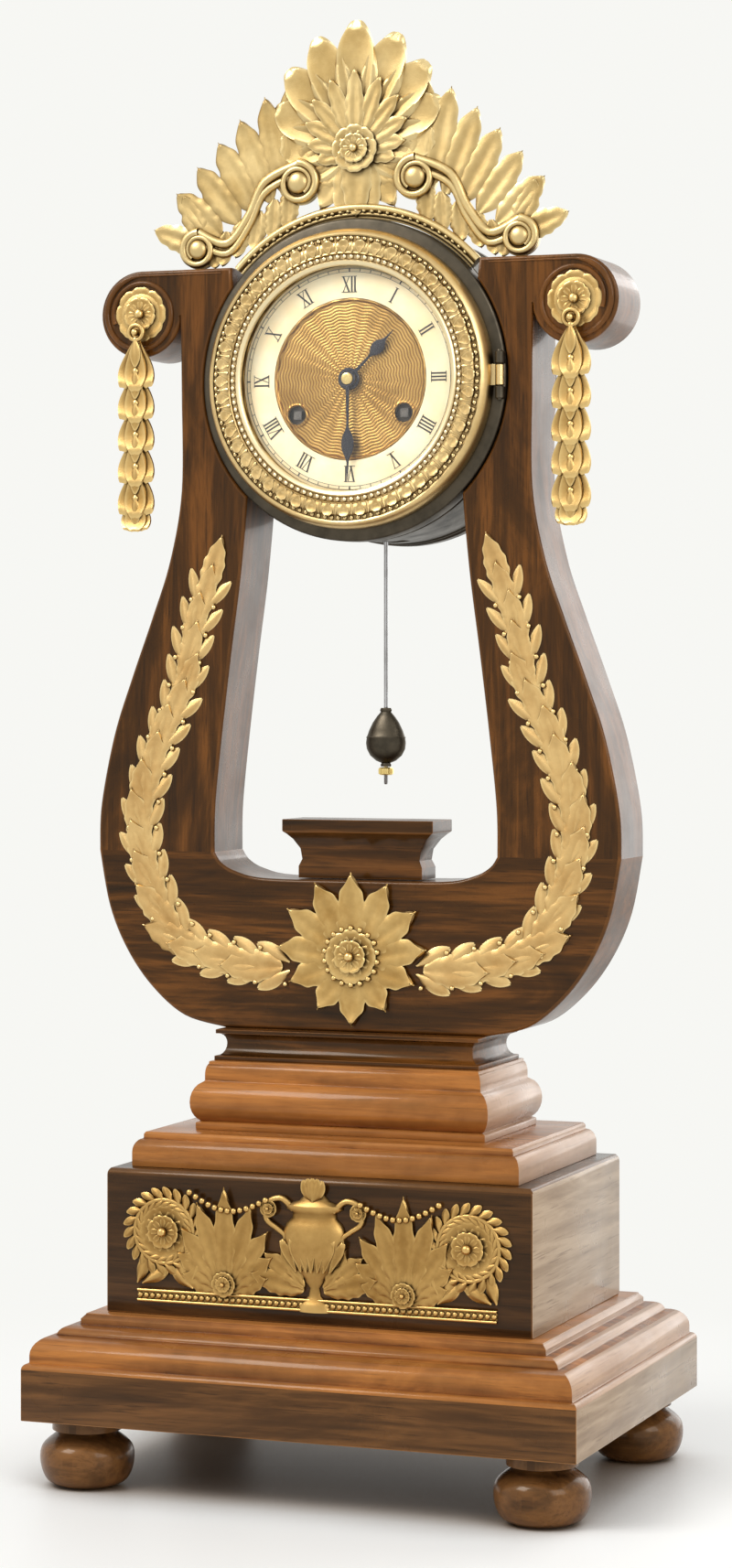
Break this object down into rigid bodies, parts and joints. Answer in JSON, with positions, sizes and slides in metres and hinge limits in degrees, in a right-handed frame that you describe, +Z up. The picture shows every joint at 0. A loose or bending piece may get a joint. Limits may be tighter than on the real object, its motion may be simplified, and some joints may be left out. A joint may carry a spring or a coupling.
{
  "type": "lyre mantel clock",
  "caption": "Lyre mantel clock: polished wood lyre frame and stepped base with gilt mounts, drum case with two-train movement, swinging pendulum, hinged bezel and rear cover.",
  "frame": {"origin": "centre of the rectangle under the feet, on the surface the clock stands on", "axes": "+Z up, -Y towards the viewer of the dial, +X to that viewer's right"},
  "size_m": [0.22, 0.158, 0.56],
  "materials": {
    "wood": "dark reddish-brown polished veneer, french-polished",
    "gilt": "fire-gilt cast brass, chased, worn on the high points",
    "bronze": "dark patinated brass sheet",
    "brass": "plain brass, grained and lacquered",
    "steel": "polished steel",
    "blued": "heat-blued steel, nearly black",
    "enamel": "cream fired enamel with plain black numerals",
    "glass": "clear convex glass"
  },
  "bodies": {
    "case": {"foot_front_left": "wood", "foot_front_right": "wood", "foot_back_left": "wood", "foot_back_right": "wood", "base_tier": "wood", "plinth_block": "wood", "pedestal": "wood", "pedestal_neck": "wood", "lyre_bow": "wood", "lyre_arm_left": "wood", "lyre_arm_right": "wood", "opening_cap": "wood", "arm_mount_left": "gilt", "arm_mount_right": "gilt", "bow_mount": "gilt", "plinth_frieze": "gilt", "volute_rosette_left": "gilt", "volute_rosette_right": "gilt", "crest": "gilt", "dial_plate": "gilt", "drum": "bronze", "front_plate": "brass", "back_plate": "brass", "bell_nut": "brass", "suspension_cock": "brass", "bell": "steel", "chapter_ring": "enamel"},
    "bezel_door": {"bezel": "gilt", "bezel_glass": "glass"},
    "cover_door": {"rear_cover": "brass"},
    "centre": {"centre_wheel": "brass", "cannon_pinion": "steel", "minute_hand": "blued", "hand_nut": "brass"},
    "hour": {"hour_wheel": "brass", "hour_hand": "blued"},
    "minute_wheel": {"minute_wheel": "brass"},
    "going_barrel": {"going_barrel": "brass", "going_mainspring": "steel"},
    "intermediate": {"intermediate_wheel": "brass"},
    "third": {"third_wheel": "brass"},
    "escape": {"escape_wheel": "brass"},
    "pallets": {"pallets_and_crutch": "steel"},
    "pendulum": {"pendulum_rod": "steel", "pendulum_bob": "bronze", "rating_nut": "brass"},
    "going_winding": {"going_winding_arbor": "steel"},
    "strike_winding": {"strike_winding_arbor": "steel"},
    "going_click": {"going_click": "steel"},
    "strike_click": {"strike_click": "steel"},
    "strike_barrel": {"strike_barrel": "brass", "strike_mainspring": "steel"},
    "second": {"second_and_count_wheel": "brass"},
    "pin": {"pin_wheel": "brass"},
    "stop": {"stop_wheel": "brass"},
    "fly": {"fly": "brass"},
    "hammer": {"hammer": "steel"},
    "drop_left": {"husk_drop_left": "gilt"},
    "drop_right": {"husk_drop_right": "gilt"}
  },
  "joints": [
    {"name": "minute_hand_turn", "type": "hinge", "parent": "case", "child": "centre", "pos_m": [0, 0, 0.421], "axis": [0, 1, 0], "continuous": true},
    {"name": "hour_hand_turn", "type": "hinge", "parent": "case", "child": "hour", "pos_m": [0, 0, 0.421], "axis": [0, 1, 0], "continuous": true},
    {"name": "minute_wheel_turn", "type": "hinge", "parent": "case", "child": "minute_wheel", "pos_m": [0.0054, 0, 0.41165], "axis": [0, 1, 0], "continuous": true},
    {"name": "going_barrel_turn", "type": "hinge", "parent": "case", "child": "going_barrel", "pos_m": [0.0218, 0, 0.4077], "axis": [0, 1, 0], "continuous": true},
    {"name": "intermediate_turn", "type": "hinge", "parent": "case", "child": "intermediate", "pos_m": [-0.00024, 0, 0.407], "axis": [0, 1, 0], "continuous": true},
    {"name": "third_turn", "type": "hinge", "parent": "case", "child": "third", "pos_m": [0.00454, 0, 0.43346], "axis": [0, 1, 0], "continuous": true},
    {"name": "escape_turn", "type": "hinge", "parent": "case", "child": "escape", "pos_m": [0, 0, 0.443], "axis": [0, 1, 0], "continuous": true},
    {"name": "pendulum_swing", "type": "hinge", "parent": "case", "child": "pendulum", "pos_m": [0, 0, 0.456], "axis": [0, 1, 0], "range_deg": [-4, 4]},
    {"name": "pallets_swing", "type": "hinge", "parent": "case", "child": "pallets", "pos_m": [0, 0, 0.456], "axis": [0, 1, 0], "range_deg": [-4, 4]},
    {"name": "going_winding_turn", "type": "hinge", "parent": "case", "child": "going_winding", "pos_m": [0.0218, 0, 0.4077], "axis": [0, 1, 0], "continuous": true},
    {"name": "strike_winding_turn", "type": "hinge", "parent": "case", "child": "strike_winding", "pos_m": [-0.0218, 0, 0.4077], "axis": [0, 1, 0], "continuous": true},
    {"name": "going_click_lift", "type": "hinge", "parent": "case", "child": "going_click", "pos_m": [0.02687, 0, 0.39816], "axis": [0, 1, 0], "range_deg": [-12, 0]},
    {"name": "strike_click_lift", "type": "hinge", "parent": "case", "child": "strike_click", "pos_m": [-0.02687, 0, 0.39816], "axis": [0, 1, 0], "range_deg": [0, 12]},
    {"name": "strike_train_turn", "type": "hinge", "parent": "case", "child": "pin", "pos_m": [-0.01393, 0, 0.44556], "axis": [0, 1, 0], "continuous": true},
    {"name": "strike_barrel_turn", "type": "hinge", "parent": "case", "child": "strike_barrel", "pos_m": [-0.0218, 0, 0.4077], "axis": [0, 1, 0], "continuous": true},
    {"name": "count_wheel_turn", "type": "hinge", "parent": "case", "child": "second", "pos_m": [-0.01742, 0, 0.43252], "axis": [0, 1, 0], "continuous": true},
    {"name": "stop_wheel_turn", "type": "hinge", "parent": "case", "child": "stop", "pos_m": [-0.00865, 0, 0.4547], "axis": [0, 1, 0], "continuous": true},
    {"name": "fly_turn", "type": "hinge", "parent": "case", "child": "fly", "pos_m": [-0.01651, 0, 0.45609], "axis": [0, 1, 0], "continuous": true},
    {"name": "hammer_swing", "type": "hinge", "parent": "case", "child": "hammer", "pos_m": [-0.033, 0, 0.435], "axis": [0, 1, 0], "range_deg": [-12, 0]},
    {"name": "bezel_open", "type": "hinge", "parent": "case", "child": "bezel_door", "pos_m": [0.0605, -0.0186, 0.421], "axis": [0, 0, 1], "range_deg": [0, 110]},
    {"name": "cover_open", "type": "hinge", "parent": "case", "child": "cover_door", "pos_m": [-0.0646, 0.0504, 0.421], "axis": [0, 0, 1], "range_deg": [0, 110]},
    {"name": "drop_left_swing", "type": "hinge", "parent": "case", "child": "drop_left", "pos_m": [-0.089, -0.02, 0.4416], "axis": [0, 1, 0], "range_deg": [-6, 6]},
    {"name": "drop_right_swing", "type": "hinge", "parent": "case", "child": "drop_right", "pos_m": [0.089, -0.02, 0.4416], "axis": [0, 1, 0], "range_deg": [-6, 6]}
  ],
  "couplings": [
    {"joint": "hour_hand_turn", "follows": "minute_hand_turn", "ratio": 0.083333},
    {"joint": "minute_wheel_turn", "follows": "minute_hand_turn", "ratio": -0.33333},
    {"joint": "intermediate_turn", "follows": "minute_hand_turn", "ratio": -0.16667},
    {"joint": "going_barrel_turn", "follows": "minute_hand_turn", "ratio": 0.027778},
    {"joint": "third_turn", "follows": "minute_hand_turn", "ratio": -12},
    {"joint": "escape_turn", "follows": "minute_hand_turn", "ratio": 120},
    {"joint": "pallets_swing", "follows": "pendulum_swing", "ratio": 1},
    {"joint": "count_wheel_turn", "follows": "strike_train_turn", "ratio": -0.11111},
    {"joint": "strike_barrel_turn", "follows": "strike_train_turn", "ratio": 0.037037},
    {"joint": "stop_wheel_turn", "follows": "strike_train_turn", "ratio": -10},
    {"joint": "fly_turn", "follows": "strike_train_turn", "ratio": 60}
  ]
}
